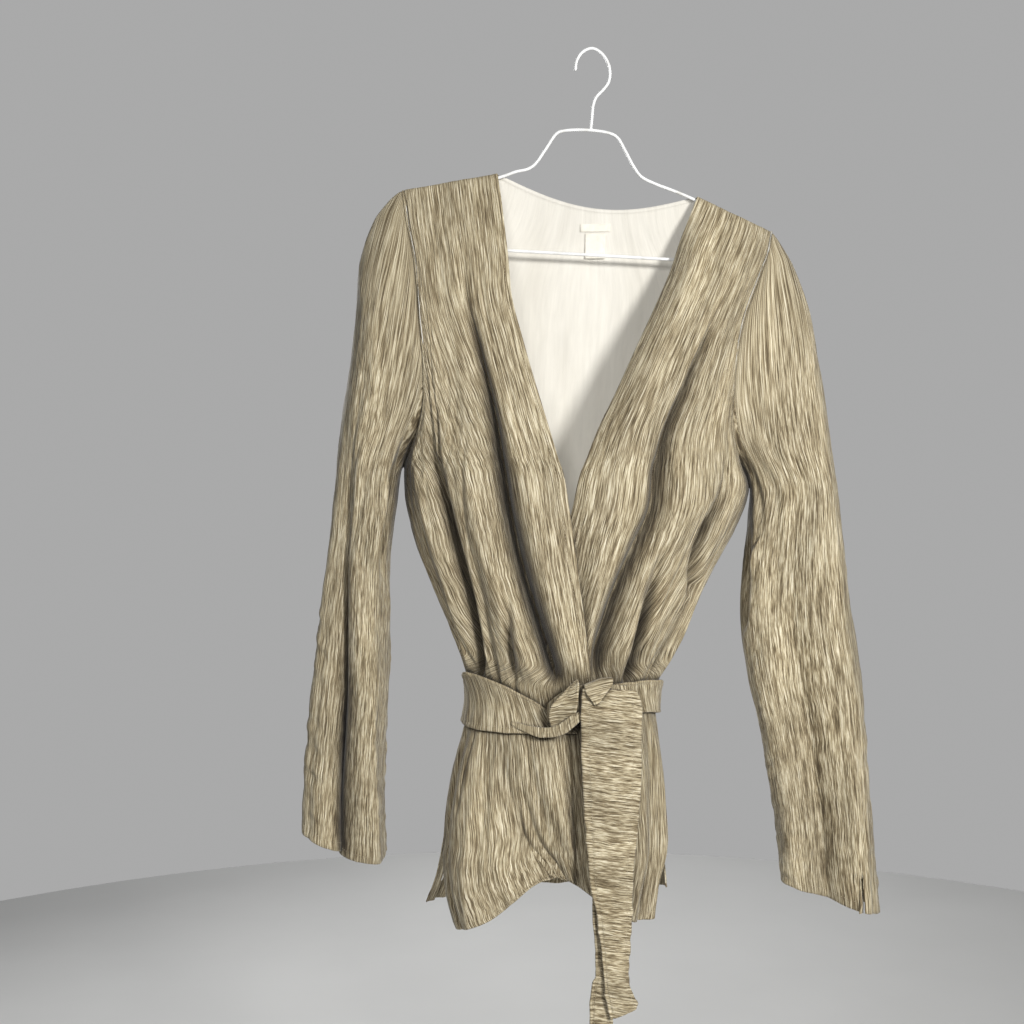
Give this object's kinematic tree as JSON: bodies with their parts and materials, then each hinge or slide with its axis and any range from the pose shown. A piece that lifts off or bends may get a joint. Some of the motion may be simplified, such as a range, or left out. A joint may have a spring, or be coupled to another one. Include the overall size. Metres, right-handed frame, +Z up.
{
  "type": "wrap cardigan on a wire hanger",
  "caption": "Long-sleeved knitted wrap cardigan, tied at the waist with its own belt, hanging on a thin wire hanger by the hook.",
  "frame": {"origin": "top of the inside of the hanger's hook, where a rail or peg holds it", "axes": "+Z up, -Y out of the garment's front, +X towards the wearer's left"},
  "size_m": [0.5449, 0.1479, 0.9058],
  "materials": {
    "knit": "streaked crinkle knit, soft sheen",
    "belt_knit": "the same knit cut across, double",
    "label": "bare woven tape",
    "coated_wire": "white plastic coating, satin"
  },
  "bodies": {
    "root": {"front_right": "knit", "front_left": "knit", "back": "knit", "sleeve_right": "knit", "sleeve_left": "knit", "belt_band": "belt_knit", "belt_knot": "belt_knit", "belt_tail_over": "belt_knit", "belt_tail_under": "belt_knit", "neck_label": "label", "care_tab": "label", "hanger": "coated_wire"}
  },
  "joints": []
}
